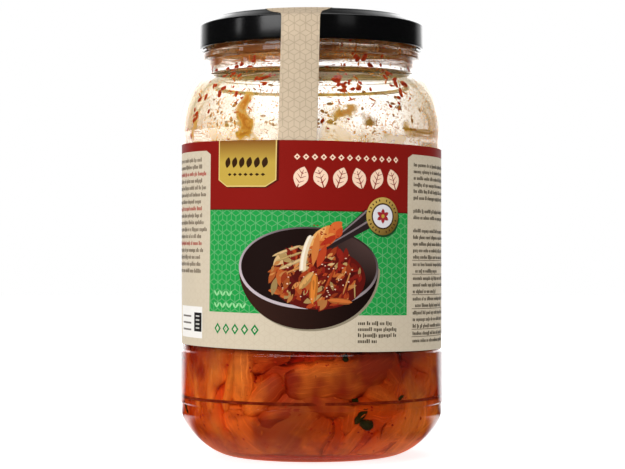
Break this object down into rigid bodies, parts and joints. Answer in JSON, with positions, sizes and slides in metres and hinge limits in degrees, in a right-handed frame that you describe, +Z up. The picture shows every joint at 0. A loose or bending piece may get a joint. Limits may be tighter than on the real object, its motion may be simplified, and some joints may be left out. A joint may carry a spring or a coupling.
{
  "type": "kimchi jar",
  "caption": "Clear glass jar filled with kimchi, with a rounded heel and shoulder, a black lug lid, a wrapped paper label and a paper seal strip running over the lid.",
  "frame": {"origin": "centre of the base, on the plane that the jar stands on", "axes": "+Z up along the jar's axis, the front of the label faces -Y, +X is the label's right side"},
  "size_m": [0.1084, 0.1084, 0.1801],
  "materials": {
    "glass": "clear flint glass",
    "kimchi": "wet cabbage, chilli flakes and brine",
    "lid_enamel": "gloss black enamel on steel sheet",
    "label_paper": "satin coated paper, printed",
    "strip_paper": "matte paper with a faint hexagon pattern"
  },
  "bodies": {
    "root": {"glass_jar": "glass", "kimchi": "kimchi", "lid": "lid_enamel", "label": "label_paper", "seal_strip": "strip_paper"}
  },
  "joints": []
}
